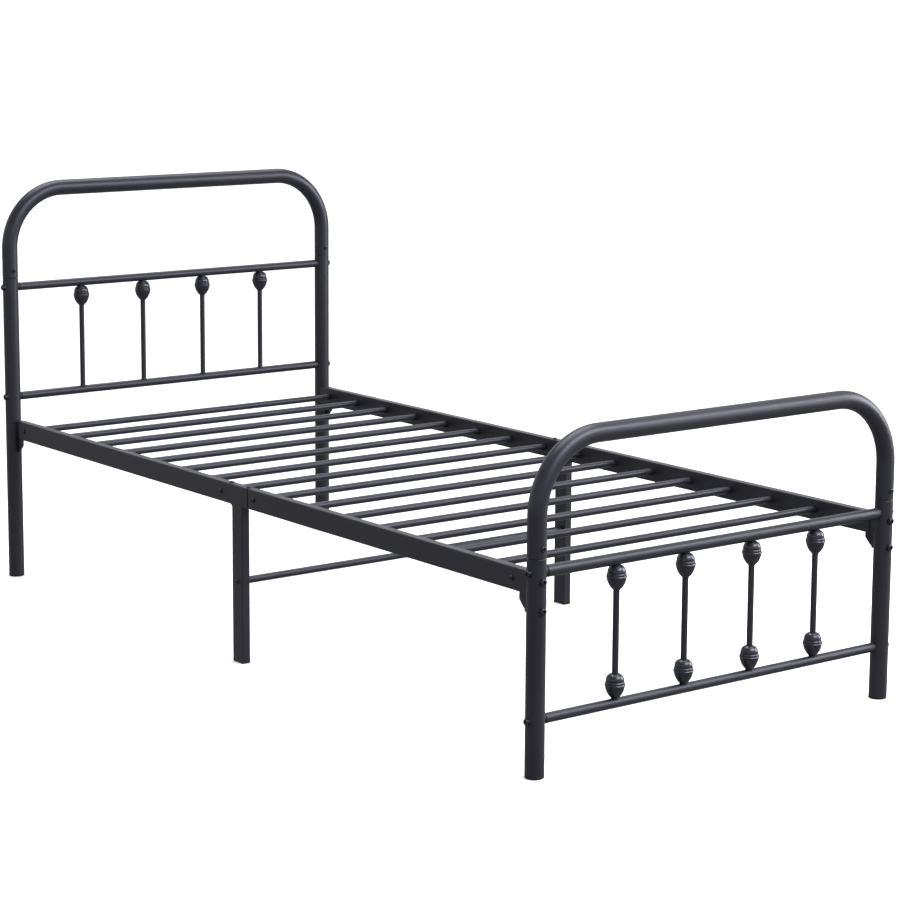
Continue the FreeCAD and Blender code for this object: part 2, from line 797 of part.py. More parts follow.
def build_centre_leg(side, across):
    """A rectangular leg welded under a crosshead of side rail section."""
    body = new_body("centre_leg_" + side)
    place(body, rail_x * across, ZERO, size.leg_cap_lip)
    wall = size.leg_wall
    under = size.rail_base - size.leg_cap_lip
    mid = rail_mid_z - size.leg_cap_lip
    tube = new_sketch(body, "XY")
    add_rectangle(tube, size.rail_width, size.leg_width, size.rail_corner)
    add_rectangle(tube, size.rail_width - wall * 2, size.leg_width - wall * 2)
    pad(body, tube, under + wall)

    head = new_sketch(body, "XZ")
    add_rectangle(head, size.rail_width, size.rail_height, size.rail_corner, y=mid)
    add_rectangle(head, size.rail_width - wall * 2, size.rail_height - wall * 2, y=mid)
    pad(body, head, size.head_half * 2, symmetric=True)

    webs = new_sketch(body, "YZ")
    side_y = size.leg_width / 2 - wall / 2
    weld = size.weld_radius
    for sign in (-1, 1):
        inner = side_y * sign
        outer = (size.leg_width / 2 + weld) * sign
        face = size.leg_width / 2 * sign
        low = under - weld
        high = under + wall / 2
        add_line(webs, (inner, low), (inner, high))
        add_line(webs, (inner, high), (outer, high))
        add_line(webs, (outer, high), (outer, under))
        add_arc(webs, (outer, under), (face, low), weld, sign > 0)
        add_line(webs, (face, low), (inner, low))
    pad(body, webs, size.rail_width - size.rail_corner, symmetric=True)

    bar_hole = new_sketch(body, "YZ")
    add_circle(bar_hole, size.small_bolt / 2, y=size.cross_bar_z - size.leg_cap_lip)
    cut(body, bar_hole)
    screw_holes = new_sketch(body, "XY")
    for sign in (-1, 1):
        add_circle(screw_holes, size.small_bolt / 2, y=size.stub_screw_y * sign)
    cut_from_above(body, screw_holes, rail_top - size.leg_cap_lip, wall)


def cut_from_above(body, sketch, top, wall):
    """Drill only the upper wall of a crosshead or stub, by a pocket of set depth."""
    doc.recompute()
    before = body.Shape.Volume
    bind(sketch, "AttachmentOffset.Base.z", top)
    feature = body.newObject("PartDesign::Pocket", body.Label + "_screw_holes")
    feature.Profile = sketch
    bind(feature, "Length", wall * 2)
    doc.recompute()
    if body.Shape.Volume > before - 0.1:
        raise RuntimeError("the screw holes missed " + body.Label)


for side, across in SIDES:
    build_centre_leg(side, across)

# The stub inside each crosshead carries both rail halves on its two bolts.
stub = new_body("stub_master", keep=False)
stub_width = size.rail_width - size.rail_wall * 2
stub_height = size.rail_height - size.rail_wall * 2
stub_section = new_sketch(stub, "XZ")
add_rectangle(stub_section, stub_width, stub_height)
add_rectangle(stub_section, stub_width - size.stub_wall * 2, stub_height - size.stub_wall * 2)
pad(stub, stub_section, size.stub_half * 2, symmetric=True)
stub_holes = new_sketch(stub, "YZ")
for sign in (-1, 1):
    add_circle(stub_holes, size.small_bolt / 2, x=size.slat_pitch / 2 * sign)
cut(stub, stub_holes)
stub_screws = new_sketch(stub, "XY")
for sign in (-1, 1):
    add_circle(stub_screws, size.small_bolt / 2, y=size.stub_screw_y * sign)
cut_from_above(stub, stub_screws, stub_height / 2, size.stub_wall)
group("joint_stubs", [
    (stub, rail_x * across, ZERO, rail_mid_z, FreeCAD.Rotation())
    for side, across in SIDES])

# Push-in cap under each centre leg.
leg_cap = new_body("leg_cap_master", keep=False)
lip_section = new_sketch(leg_cap, "XY")
add_rectangle(lip_section, size.rail_width, size.leg_width, size.rail_corner)
pad(leg_cap, lip_section, size.leg_cap_lip)
plug_section = new_sketch(leg_cap, "XY")
leg_bore_x = size.rail_width - size.leg_wall * 2
leg_bore_y = size.leg_width - size.leg_wall * 2
add_rectangle(plug_section, leg_bore_x, leg_bore_y)
pad(leg_cap, plug_section, size.leg_cap_lip + size.plug_depth)
group("leg_caps", [
    (leg_cap, rail_x * across, ZERO, ZERO, FreeCAD.Rotation())
    for side, across in SIDES])

cross_bar = new_body("cross_bar")
place(cross_bar, z=size.cross_bar_z)
round_tube_along_x(cross_bar, size.cross_bar_dia / 2, size.cross_bar_wall, rail_inner)

# ---------------------------------------------------------------- fasteners

# Button head: flat crown and dome radius as parts of its width, brim and key
# depth as parts of its height.
HEAD_CROWN = 0.3
HEAD_DOME = 0.42
HEAD_BRIM = 0.25
KEY_DEPTH = 0.7


def bolt_master(label, shank, head, rise, key, length):
    """A button-head bolt with a hexagon socket, head towards +X, shank from x = 0."""
    body = new_body(label, keep=False)
    body_section = new_sketch(body, "YZ")
    add_circle(body_section, shank / 2)
    pad(body, body_section, length, backwards=True)
    dome = new_sketch(body, "XZ")
    crown = head * HEAD_CROWN
    brim = rise * HEAD_BRIM
    dome_radius = head * HEAD_DOME
    add_line(dome, (ZERO, ZERO), (ZERO, head / 2))
    add_line(dome, (ZERO, head / 2), (brim, head / 2))
    add_arc(dome, (brim, head / 2), (rise, crown), dome_radius, False)
    add_line(dome, (rise, crown), (rise, ZERO))
    add_line(dome, (rise, ZERO), (ZERO, ZERO))
    turned = body.newObject("PartDesign::Revolution", label + "_head")
    turned.Profile = dome
    turned.ReferenceAxis = (dome, ["H_Axis"])
    turned.Angle = FULL_TURN
    doc.recompute()
    before = body.Shape.Volume
    socket = new_sketch(body, "YZ")
    add_hexagon(socket, key)
    bind(socket, "AttachmentOffset.Base.z", rise)
    feature = body.newObject("PartDesign::Pocket", label + "_socket")
    feature.Profile = socket
    bind(feature, "Length", rise * KEY_DEPTH)
    doc.recompute()
    if body.Shape.Volume > before - 0.1:
        raise RuntimeError("the socket missed " + label)
    return body


def add_hexagon(sketch, across_flats):
    reach = across_flats / math.sqrt(3)
    corners = [math.radians(60 * number) for number in range(6)]
    add_outline(sketch, [(reach * math.cos(a), reach * math.sin(a)) for a in corners])


def nut_master(label, across_flats, shank, height):
    """A hexagon nut that stands on x = 0 and reaches towards -X."""
    body = new_body(label, keep=False)
    section = new_sketch(body, "YZ")
    add_hexagon(section, across_flats)
    add_circle(section, shank / 2)
    pad(body, section, height, backwards=True)
    return body


panel_grip = size.post_dia + size.panel_gap + size.plug_length * 0.7
bracket_grip = size.post_dia + size.flange_plate
nut_grip = size.rail_width - size.rail_wall
insert_grip = size.rail_width + size.insert_length * 0.6
screw_grip = size.post_wall + size.sleeve_wall + size.screw_show
over_washer = size.washer_rise
large = (size.large_bolt, size.large_head, size.large_head_rise, size.large_key)
small = (size.small_bolt, size.small_head, size.small_head_rise, size.small_key)

panel_bolt = bolt_master("panel_bolt_master", *large, panel_grip + over_washer)
bracket_bolt = bolt_master("bracket_bolt_master", *large, bracket_grip + over_washer)
nut_bolt = bolt_master("nut_bolt_master", *small, nut_grip)
insert_bolt = bolt_master("insert_bolt_master", *small, insert_grip)
short_screw = bolt_master("short_screw_master", *small, screw_grip)
small_nut = nut_master("small_nut_master", size.small_nut, size.small_bolt, size.small_nut_height)

washer = new_body("washer_master", keep=False)
washer_section = new_sketch(washer, "YZ")
add_circle(washer_section, size.washer_dia / 2)
add_circle(washer_section, size.large_bolt / 2)
pad(washer, washer_section, post_radius + size.washer_rise)
washer_saddle = new_sketch(washer, "XY")
add_circle(washer_saddle, post_radius)
cut(washer, washer_saddle)

corners = [(end, along, side, across) for end, along in ENDS for side, across in SIDES]
head_stand = post_radius + size.washer_rise
group("panel_bolts", [
    (panel_bolt, (post_x + head_stand) * across, post_y * along, level, facing_x(across))
    for end, along, side, across in corners
    for name, level, dia in PANEL_RAILS[end]])
group("bracket_bolts", [
    (bracket_bolt, post_x * across, (post_y + head_stand) * along, level, facing_y(along))
    for end, along, side, across in corners
    for level in bracket_bolt_heights])
group("saddle_washers", [
    (washer, post_x * across, post_y * along, level, facing_x(across))
    for end, along, side, across in corners
    for name, level, dia in PANEL_RAILS[end]] + [
    (washer, post_x * across, post_y * along, level, facing_y(along))
    for end, along, side, across in corners
    for level in bracket_bolt_heights])
group("button_screws", [
    (short_screw, post_x * across, post_y * along - post_radius,
     seams[end] + size.screw_rise, facing_y(-1))
    for end, along, side, across in corners] + [
    (short_screw, rail_x * across, size.stub_screw_y * sign, rail_top,
     FreeCAD.Rotation(Vector(0, 1, 0), -90))
    for side, across in SIDES
    for sign in (-1, 1)])
group("rail_bolts", [
    (insert_bolt, size.rail_face * across, slat_y(number), rail_mid_z, facing_x(across))
    for number in (1, HEAD_HALF_SLATS, HEAD_HALF_SLATS + 1)
    for side, across in SIDES] + [
    (nut_bolt, size.rail_face * across, foot_bolt_y, rail_mid_z, facing_x(across))
    for side, across in SIDES] + [
    (insert_bolt, size.rail_face * across, ZERO, size.cross_bar_z, facing_x(across))
    for side, across in SIDES])
nut_face = rail_inner + size.rail_wall + size.steel_plate + size.small_nut_height
group("rail_nuts", [
    (small_nut, nut_face * across, foot_bolt_y, rail_mid_z, facing_x(across))
    for side, across in SIDES])

# ---------------------------------------------------------------- check and write

doc.recompute()
for thing in doc.Objects:
    if "Invalid" in thing.State or "Error" in thing.State:
        raise RuntimeError("%s failed: %s" % (thing.Label, thing.State))
for node in exports:
    if node.Shape.isNull() or not node.Shape.isValid():
        raise RuntimeError(node.Label + " has no valid shape")

os.makedirs("parts", exist_ok=True)
for node in exports:
    node.Shape.exportStep(os.path.join("parts", node.Label + ".step"))
print(len(exports), "nodes,", sum(len(node.Shape.Solids) for node in exports), "solids")
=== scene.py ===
import math
import random

import bpy
from mathutils import Matrix, Vector


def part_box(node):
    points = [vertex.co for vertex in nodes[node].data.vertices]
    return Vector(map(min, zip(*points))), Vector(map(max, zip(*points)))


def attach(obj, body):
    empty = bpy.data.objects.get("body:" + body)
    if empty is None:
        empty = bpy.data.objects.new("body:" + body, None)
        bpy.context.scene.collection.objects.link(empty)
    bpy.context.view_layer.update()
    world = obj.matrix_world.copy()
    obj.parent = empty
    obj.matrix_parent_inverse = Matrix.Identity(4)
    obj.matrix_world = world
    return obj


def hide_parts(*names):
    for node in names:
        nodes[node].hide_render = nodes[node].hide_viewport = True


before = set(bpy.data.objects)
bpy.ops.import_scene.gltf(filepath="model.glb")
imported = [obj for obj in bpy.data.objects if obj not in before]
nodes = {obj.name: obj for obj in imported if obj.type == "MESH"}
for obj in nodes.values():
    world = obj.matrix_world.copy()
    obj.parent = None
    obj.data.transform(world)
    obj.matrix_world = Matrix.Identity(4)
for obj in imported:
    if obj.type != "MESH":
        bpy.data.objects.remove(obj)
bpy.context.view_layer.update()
scene = bpy.context.scene

# ------------------------------------------------------------------------------------
# The studio: a wide pale floor, one very wide soft light overhead, a softbox to the
# right and one over the foot end, and a long lens off the near corner of the foot end.
# Only the camera and shadows meet the floor, so the steel mirrors the dim air below it.
# ------------------------------------------------------------------------------------

FLOOR_HALF = 300
FLOOR_TONE = (0.80, 0.80, 0.80, 1)
# The air's brightness by height: dim below, white round the horizon, half overhead.
AIR_STOPS = (
    (0.0, 0.46), (0.36, 0.40), (0.482, 0.34), (0.497, 1.2), (0.62, 1.2), (0.76, 0.5),
    (1.0, 0.45))
OVERHEAD_STRENGTH = 3.5
OVERHEAD_SPREAD = math.radians(50)
OVERHEAD_TILT = (math.radians(-14), math.radians(10), 0)
# Each softbox: its name, place, width and length, power, and the point it faces.
SOFTBOXES = (
    ("side_softbox", (4.6, -2.6, 1.9), (2.2, 3.0), 260, (0, 0, 0.5)),
    ("foot_softbox", (0.8, -3.4, 3.0), (3.0, 1.6), 200, (0, -1.0, 0.6)),
)
CAMERA_PLACE = Vector((-3.4756, -4.6857, 1.5092))
CAMERA_AZIMUTH = math.radians(-37.02)
CAMERA_ELEVATION = math.radians(9.43)
CAMERA_ROLL = math.radians(0.26)
CAMERA_LENS = 104.2
CAMERA_SHIFT = (0.022, -0.056)
CAMERA_REACH = 1000

scene.view_settings.view_transform = "Standard"
camera = bpy.data.objects.new("studio_camera", bpy.data.cameras.new("studio_camera"))
scene.collection.objects.link(camera)
camera.matrix_world = (
    Matrix.Translation(CAMERA_PLACE)
    @ Matrix.Rotation(CAMERA_AZIMUTH, 4, "Z")
    @ Matrix.Rotation(math.pi / 2 - CAMERA_ELEVATION, 4, "X")
    @ Matrix.Rotation(CAMERA_ROLL, 4, "Z"))
camera.data.lens = CAMERA_LENS
camera.data.shift_x, camera.data.shift_y = CAMERA_SHIFT
camera.data.clip_end = CAMERA_REACH
scene.camera = camera

world = bpy.data.worlds.new("studio_air")
world.use_nodes = True
air = world.node_tree
air_way = air.nodes.new("ShaderNodeTexCoord")
air_split = air.nodes.new("ShaderNodeSeparateXYZ")
air_height = air.nodes.new("ShaderNodeMapRange")
air_height.inputs["From Min"].default_value = -1
air_ramp = air.nodes.new("ShaderNodeValToRGB")
air_stops = air_ramp.color_ramp.elements
while len(air_stops) < len(AIR_STOPS):
    air_stops.new(0.5)
for stop, (height, brightness) in zip(air_stops, AIR_STOPS):
    stop.position = height
    stop.color = (brightness, brightness, brightness, 1)
air.links.new(air_way.outputs["Generated"], air_split.inputs["Vector"])
air.links.new(air_split.outputs["Z"], air_height.inputs["Value"])
air.links.new(air_height.outputs["Result"], air_ramp.inputs["Fac"])
air.links.new(air_ramp.outputs["Color"], air.nodes["Background"].inputs["Color"])
scene.world = world

overhead = bpy.data.objects.new("overhead", bpy.data.lights.new("overhead", "SUN"))
overhead.data.energy = OVERHEAD_STRENGTH
overhead.data.angle = OVERHEAD_SPREAD
overhead.rotation_euler = OVERHEAD_TILT
scene.collection.objects.link(overhead)

for name, place, (width, length), power, target in SOFTBOXES:
    light = bpy.data.lights.new(name, "AREA")
    light.shape = "RECTANGLE"
    light.size = width
    light.size_y = length
    light.energy = power
    softbox = bpy.data.objects.new(name, light)
    softbox.location = place
    aim = Vector(target) - Vector(place)
    softbox.rotation_euler = aim.to_track_quat("-Z", "Y").to_euler()
    scene.collection.objects.link(softbox)


def deselect_all():
    """Leave edit mode and drop every selection, so that an operator acts on its own piece."""
    if bpy.context.object and bpy.context.object.mode != "OBJECT":
        bpy.ops.object.mode_set(mode="OBJECT")
    bpy.ops.object.select_all(action="DESELECT")


def select_only(piece):
    """Make one piece the only one that the next operator works on."""
    deselect_all()
    piece.select_set(True)
    bpy.context.view_layer.objects.active = piece


deselect_all()
bpy.ops.mesh.primitive_plane_add(size=FLOOR_HALF * 2)
floor = bpy.context.object
floor.name = "studio_floor"
floor_paint = bpy.data.materials.new("studio_floor")
floor_paint.use_nodes = True
floor_shader = floor_paint.node_tree.nodes["Principled BSDF"]
floor_shader.inputs["Base Color"].default_value = FLOOR_TONE
floor_shader.inputs["Roughness"].default_value = 1
floor_shader.inputs["Specular IOR Level"].default_value = 0
floor.data.materials.append(floor_paint)
floor.visible_glossy = False
floor.visible_diffuse = False

# ------------------------------------------------------------------------------------
# Head and foot arches: 38 mm steel tube, bent twice in a tube bender and sprayed with a
# fine charcoal powder that is baked on. Each drops over a sleeve in its two posts.
# ------------------------------------------------------------------------------------

TUBE_SIDES = 72
ARCH_BEND = 0.145
ARCH_WALL = 0.0015
BEND_STEPS = 40
# A cut end's broken edge, at most, and the most of its wall that the edge may take.
RIM = 0.0009
RIM_SHARE = 0.6
# A rim at a seam: how far it turns in, and how far up the tube the turn starts.
SEAM_RIM = ((0.0013, 0.0), (0.0009, 0.0003), (0.0003, 0.0009), (0.0, 0.0013))
SEAM_BREAK = 0.0003
SKIN_MERGE = 0.00001
RIM_ANGLE = 60
SMOOTH_ANGLE = 50
COAT_DARK = (0.0078, 0.0077, 0.0104, 1)
COAT_LIGHT = (0.0118, 0.0116, 0.0156, 1)
COAT_TINT = (0.80, 0.82, 1.0, 1)
COAT_SPECULAR = 0.41
# Bumps to the metre in the coat's clouds, grain and orange peel, and their height.
COAT_CLOUDS = 6
COAT_GRAIN = 1500
COAT_PEEL = 420
COAT_RELIEF = 0.00010


class Signal:
    """A shader socket in an expression: each operator adds the Math node it stands for."""

    def __init__(self, finish, socket):
        self.finish = finish
        self.socket = socket

    def _math(self, operation, first, second):
        return self.finish.node("ShaderNodeMath", {"operation": operation}, {0: first, 1: second})

    def __add__(self, other):
        return self._math("ADD", self, other)

    def __mul__(self, other):
        return self._math("MULTIPLY", self, other)

    __radd__ = __add__
    __rmul__ = __mul__


class Finish:
    """A material with one Principled shader, and the nodes that feed it."""

    def __init__(self, name):
        self.material = bpy.data.materials.new(name)
        self.material.use_nodes = True
        self.tree = self.material.node_tree
        self.shader = self.tree.nodes["Principled BSDF"]
        self.place = self.node("ShaderNodeTexCoord", output="Object")

    def node(self, kind, settings=None, inputs=None, output=0):
        """Add a node: its settings first, then values or links for its sockets."""
        made = self.tree.nodes.new(kind)
        for name, value in (settings or {}).items():
            setattr(made, name, value)
        for name, value in (inputs or {}).items():
            self.feed(made.inputs[name], value)
        return Signal(self, made.outputs[output])

    def feed(self, socket, value):
        if isinstance(value, Signal):
            self.tree.links.new(value.socket, socket)
        else:
            socket.default_value = value

    def set(self, **values):
        """Feed the shader: base_color means its Base Color socket, and so on."""
        for name, value in values.items():
            socket = name.replace("_", " ").title().replace("Ior", "IOR")
            self.feed(self.shader.inputs[socket], value)

    def noise(self, scale, detail=2.0, roughness=0.5, stretch=None):
        """Soft random values from 0 to 1, with about scale bumps to the metre."""
        place = self.place
        if stretch:
            place = self.node(
                "ShaderNodeVectorMath", {"operation": "MULTIPLY"}, {0: place, 1: stretch})
        return self.node("ShaderNodeTexNoise", inputs={
            "Vector": place, "Scale": scale, "Detail": detail, "Roughness": roughness})

    def step(self, signal, low, high):
        """A signal spread so that low becomes 0 and high becomes 1."""
        return self.node("ShaderNodeMapRange", {"interpolation_type": "SMOOTHSTEP"}, {
            "Value": signal, "From Min": low, "From Max": high})

    def blend(self, factor, low, high):
        """A colour between two others."""
        return self.node("ShaderNodeMix", {"data_type": "RGBA"},
                         {0: factor, 6: low, 7: high}, output=2)

    def bump(self, height, distance, strength=1.0):
        return self.node("ShaderNodeBump", inputs={
            "Height": height, "Distance": distance, "Strength": strength}, output="Normal")


def powder_coat(name):
    """Satin powder: a fine grain, a faint orange peel, and slow changes in its depth."""
    coat = Finish(name)
    cloud = coat.step(coat.noise(COAT_CLOUDS, detail=3), 0.3, 0.7)
    grain = coat.noise(COAT_GRAIN, detail=2, roughness=0.7)
    peel = coat.noise(COAT_PEEL, detail=1)
    coat.set(
        base_color=coat.blend(cloud * 0.45 + grain * 0.55, COAT_DARK, COAT_LIGHT),
        roughness=0.33 + cloud * 0.05 + grain * 0.10,
        specular_ior_level=COAT_SPECULAR,
        specular_tint=COAT_TINT,
        normal=coat.bump(peel * 0.8 + grain * 0.2, COAT_RELIEF))
    return coat.material


tube_coat = powder_coat("powder_coat")


def hand_over(piece, name, material, slot, *stands_for):
    """Name and paint a finished piece, fix it to the bed, and let it stand for its solids."""
    piece.name = name
    piece.data.name = name
    piece.data.materials.clear()
    piece.data.materials.append(material)
    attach(piece, "root")
    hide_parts(*stands_for)


def start_ring(place, radius, sides=TUBE_SIDES, turn=(0, 0, 0)):
    """An open ring of edges at a tube's first end, in edit mode with all of it selected."""
    deselect_all()
    bpy.ops.mesh.primitive_circle_add(
        vertices=sides, radius=radius, fill_type="NOTHING", location=place, rotation=turn)
    bpy.ops.object.mode_set(mode="EDIT")
    bpy.ops.mesh.select_mode(type="EDGE")
    bpy.ops.mesh.select_all(action="SELECT")
    return bpy.context.object


def run_tube(x=0.0, y=0.0, z=0.0):
    """Draw the selected ring straight on."""
    bpy.ops.mesh.extrude_edges_move(TRANSFORM_OT_translate={"value": (x, y, z)})


def grow_ring(factor):
    """Widen or narrow the selected level ring."""
    bpy.ops.transform.resize(value=(factor, factor, 1))


def roll_rim_up(radius):
    """From a ring on a seam, turn the rim out to the tube's full radius, going up."""
    for (inset, height), (next_inset, next_height) in zip(SEAM_RIM, SEAM_RIM[1:]):
        run_tube(z=next_height - height)
        grow_ring((radius - next_inset) / (radius - inset))


def roll_rim_in(radius, up):
    """Turn the rim in towards the seam that a tube ends at, going up or down."""
    steps = SEAM_RIM[::-1]
    for (inset, height), (next_inset, next_height) in zip(steps, steps[1:]):
        run_tube(z=(height - next_height) * up)
        grow_ring((radius - next_inset) / (radius - inset))


def close_skin(piece):
    """Join a skin's seams and turn it outwards, back in object mode and placed at the origin."""
    bpy.ops.mesh.select_all(action="SELECT")
    bpy.ops.mesh.remove_doubles(threshold=SKIN_MERGE)
    bpy.ops.mesh.normals_make_consistent(inside=False)
    bpy.ops.object.mode_set(mode="OBJECT")
    bpy.ops.object.transform_apply(location=True, rotation=True, scale=True)


def apply_modifier(piece, kind, **settings):
    modifier = piece.modifiers.new(kind.lower(), kind)
    for name, value in settings.items():
        setattr(modifier, name, value)
    bpy.ops.object.modifier_apply(modifier=modifier.name)


def break_edges(piece, width, angle, segments=2):
    """Round every edge that turns by more than an angle."""
    apply_modifier(piece, "BEVEL", width=width, segments=segments,
                   limit_method="ANGLE", angle_limit=math.radians(angle))


def smooth_off(piece, angle=SMOOTH_ANGLE):
    """Shade a piece smooth up to an angle, and let its large faces lead at the bevels."""
    bpy.ops.object.shade_smooth_by_angle(angle=math.radians(angle))
    apply_modifier(piece, "WEIGHTED_NORMAL", weight=100, keep_sharp=True)


def give_wall(piece, wall, rim=RIM):
    """Thicken a skin inwards to its tube wall, and break the sharp rims at its ends."""
    apply_modifier(piece, "SOLIDIFY", thickness=wall, offset=-1, use_even_offset=True)
    break_edges(piece, min(rim, wall * RIM_SHARE), RIM_ANGLE, 3)
    smooth_off(piece)


def bend_arch(name):
    """Draw an arch from the left seam up, round both bends, and down to the right seam."""
    low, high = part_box(name)
    radius = (high[1] - low[1]) / 2
    middle_y = (high[1] + low[1]) / 2
    side_x = high[0] - radius
    bend_z = high[2] - radius - ARCH_BEND
    straight = bend_z - low[2] - SEAM_RIM[-1][1]
    arch = start_ring((-side_x, middle_y, low[2]), radius - SEAM_RIM[0][0])
    roll_rim_up(radius)
    run_tube(z=straight)
    for centre_x, after in ((ARCH_BEND - side_x, {"x": (side_x - ARCH_BEND) * 2}),
                            (side_x - ARCH_BEND, {"z": -straight})):
        bpy.ops.mesh.spin(steps=BEND_STEPS, angle=-math.pi / 2,
                          center=(centre_x, middle_y, bend_z), axis=(0, 1, 0))
        run_tube(**after)
    roll_rim_in(radius, -1)
    close_skin(arch)
    give_wall(arch, ARCH_WALL, SEAM_BREAK)
    hand_over(arch, name + "_tube", tube_coat, "powder_coat", name)


bend_arch("head_arch")
bend_arch("foot_arch")

# ------------------------------------------------------------------------------------
# Corner posts: the same 38 mm tube cut square, its rim filed so that a fine groove
# shows where an arch stands on it.
# ------------------------------------------------------------------------------------

ENDS = (("head", 1), ("foot", -1))
SIDES = (("left", -1), ("right", 1))

for end, along in ENDS:
    for side, across in SIDES:
        node = "%s_post_%s" % (end, side)
        low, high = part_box(node)
        radius = (high[0] - low[0]) / 2
        post = start_ring(((low[0] + high[0]) / 2, (low[1] + high[1]) / 2, low[2]), radius)
        run_tube(z=high[2] - low[2] - SEAM_RIM[-1][1])
        roll_rim_in(radius, 1)
        close_skin(post)
        give_wall(post, ARCH_WALL, SEAM_BREAK)
        hand_over(post, node + "_tube", tube_coat, "powder_coat", node)

# ------------------------------------------------------------------------------------
# Foot caps: black moulded plastic, a rounded lip under each post with a hollow plug
# that is pushed up into the tube.
# ------------------------------------------------------------------------------------

POST_RADIUS = 0.019
CAP_LIP = 0.005
CAP_EDGE = 0.0025
CAP_EDGE_STEPS = 8
CAP_BREAK = 0.0004
PLUG_RADIUS = 0.0175
PLUG_BORE = 0.0155
PLUG_TOP = 0.027
SAME_RADIUS = 1e-7
PLASTIC_DARK = (0.0055, 0.0055, 0.0060, 1)
PLASTIC_LIGHT = (0.0090, 0.0090, 0.0095, 1)
PLASTIC_CLOUDS = 25
MOULD_SPARK = 1800.0
PLASTIC_RELIEF = 0.00006


def moulded_plastic(name):
    """Black plastic with the fine spark grain of its mould."""
    plastic = Finish(name)
    cloud = plastic.noise(PLASTIC_CLOUDS, detail=2)
    spark = plastic.node("ShaderNodeTexVoronoi", {"feature": "SMOOTH_F1"}, {
        "Vector": plastic.place, "Scale": MOULD_SPARK})
    plastic.set(
        base_color=plastic.blend(cloud, PLASTIC_DARK, PLASTIC_LIGHT),
        roughness=0.5 + cloud * 0.12,
        specular_ior_level=0.3,
        normal=plastic.bump(spark, PLASTIC_RELIEF))
    return plastic.material


black_plastic = moulded_plastic("black_plastic")


def rounded_corner(start, stop, centre, steps):
    """Points of an arc about a centre, from just after one end up to the other."""
    first = math.atan2(start[1] - centre[1], start[0] - centre[0])
    last = math.atan2(stop[1] - centre[1], stop[0] - centre[0])
    radius = math.hypot(start[0] - centre[0], start[1] - centre[1])
    turn = (last - first + math.pi) % (2 * math.pi) - math.pi
    angles = [first + turn * number / steps for number in range(1, steps + 1)]
    return [(centre[0] + radius * math.cos(a), centre[1] + radius * math.sin(a)) for a in angles]


def turn_piece(place, outline, sides):
    """Turn an outline of radius and height about the vertical, ring by ring."""
    radius, height = outline[0]
    piece = start_ring((place[0], place[1], place[2] + height), radius, sides)
    for next_radius, next_height in outline[1:]:
        run_tube(z=next_height - height)
        if abs(next_radius - radius) > SAME_RADIUS:
            grow_ring(next_radius / radius)
        radius, height = next_radius, next_height
    return piece


def fill_flat_ends(piece):
    """Cover the open round ends of a turned skin."""
    bpy.ops.mesh.select_all(action="DESELECT")
    bpy.ops.mesh.select_non_manifold()
    bpy.ops.mesh.edge_face_add()


cap_flat = (POST_RADIUS - CAP_EDGE, 0)
cap_side = (POST_RADIUS, CAP_EDGE)
cap_edge_centre = (POST_RADIUS - CAP_EDGE, CAP_EDGE)
cap_outline = [cap_flat]
cap_outline += rounded_corner(cap_flat, cap_side, cap_edge_centre, CAP_EDGE_STEPS)
cap_outline += [(POST_RADIUS, CAP_LIP), (PLUG_RADIUS, CAP_LIP), (PLUG_RADIUS, PLUG_TOP),
                (PLUG_BORE, PLUG_TOP), (PLUG_BORE, CAP_LIP)]
for end, along in ENDS:
    for side, across in SIDES:
        low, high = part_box("%s_post_%s" % (end, side))
        centre = ((low[0] + high[0]) / 2, (low[1] + high[1]) / 2, 0)
        cap = turn_piece(centre, cap_outline, TUBE_SIDES)
        fill_flat_ends(cap)
        close_skin(cap)
        break_edges(cap, CAP_BREAK, SMOOTH_ANGLE)
        smooth_off(cap)
        hand_over(cap, "%s_post_cap_%s" % (end, side),
                  black_plastic, "black_plastic", "post_caps")

# ------------------------------------------------------------------------------------
# Panel rails: four straight tubes between the posts, the footboard's top one thicker.
# A black threaded plug in each end takes the bolt and sits on the round post.
# ------------------------------------------------------------------------------------

PANEL_RAILS = (("head_top_rail", "head"), ("head_bottom_rail", "head"),
               ("foot_top_rail", "foot"), ("foot_bottom_rail", "foot"))
PANEL_WALL = 0.0012
RAIL_SIDES = 56


def cut_crosswise(name, node, wall, sides=RAIL_SIDES):
    """A straight tube across the bed that fills its solid's box."""
    low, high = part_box(node)
    radius = (high[2] - low[2]) / 2
    place = (low[0], (low[1] + high[1]) / 2, (low[2] + high[2]) / 2)
    tube = start_ring(place, radius, sides, (0, math.pi / 2, 0))
    run_tube(x=high[0] - low[0])
    close_skin(tube)
    give_wall(tube, wall)
    hand_over(tube, name, tube_coat, "powder_coat", node)


for node, end in PANEL_RAILS:
    cut_crosswise(node + "_tube", node, PANEL_WALL)
for slot in nodes["rail_end_plugs"].material_slots:
    slot.material = black_plastic

# ------------------------------------------------------------------------------------
# Spindles: four thin tubes in each panel, cut to saddle the round rails and welded,
# with a small bead that swells the lower end and disappears under the powder.
# ------------------------------------------------------------------------------------

SPINDLE_SIDES = 40
BEAD_SWELL = 0.0013
BEAD_RISE = 0.0026
BEAD_STEPS = 6
SPINDLES = 4
# How far off a rail's axis a spindle is cut short before its end is shaped to the rail.
SPINDLE_TUCK = 0.002
CUTTER_SIDES = 96
CUTTER_LENGTH = 0.06
SPINDLE_SMOOTH = 40


def axis_height(node):
    low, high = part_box(node)
    return (low[2] + high[2]) / 2


def rail_radius(node):
    low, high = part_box(node)
    return (high[2] - low[2]) / 2


def cut_away(piece, cutter):
    """Take a cutter's shape out of a piece, and put the cutter away."""
    select_only(piece)
    apply_modifier(piece, "BOOLEAN", operation="DIFFERENCE", object=cutter, solver="EXACT")
    bpy.data.objects.remove(cutter, do_unlink=True)


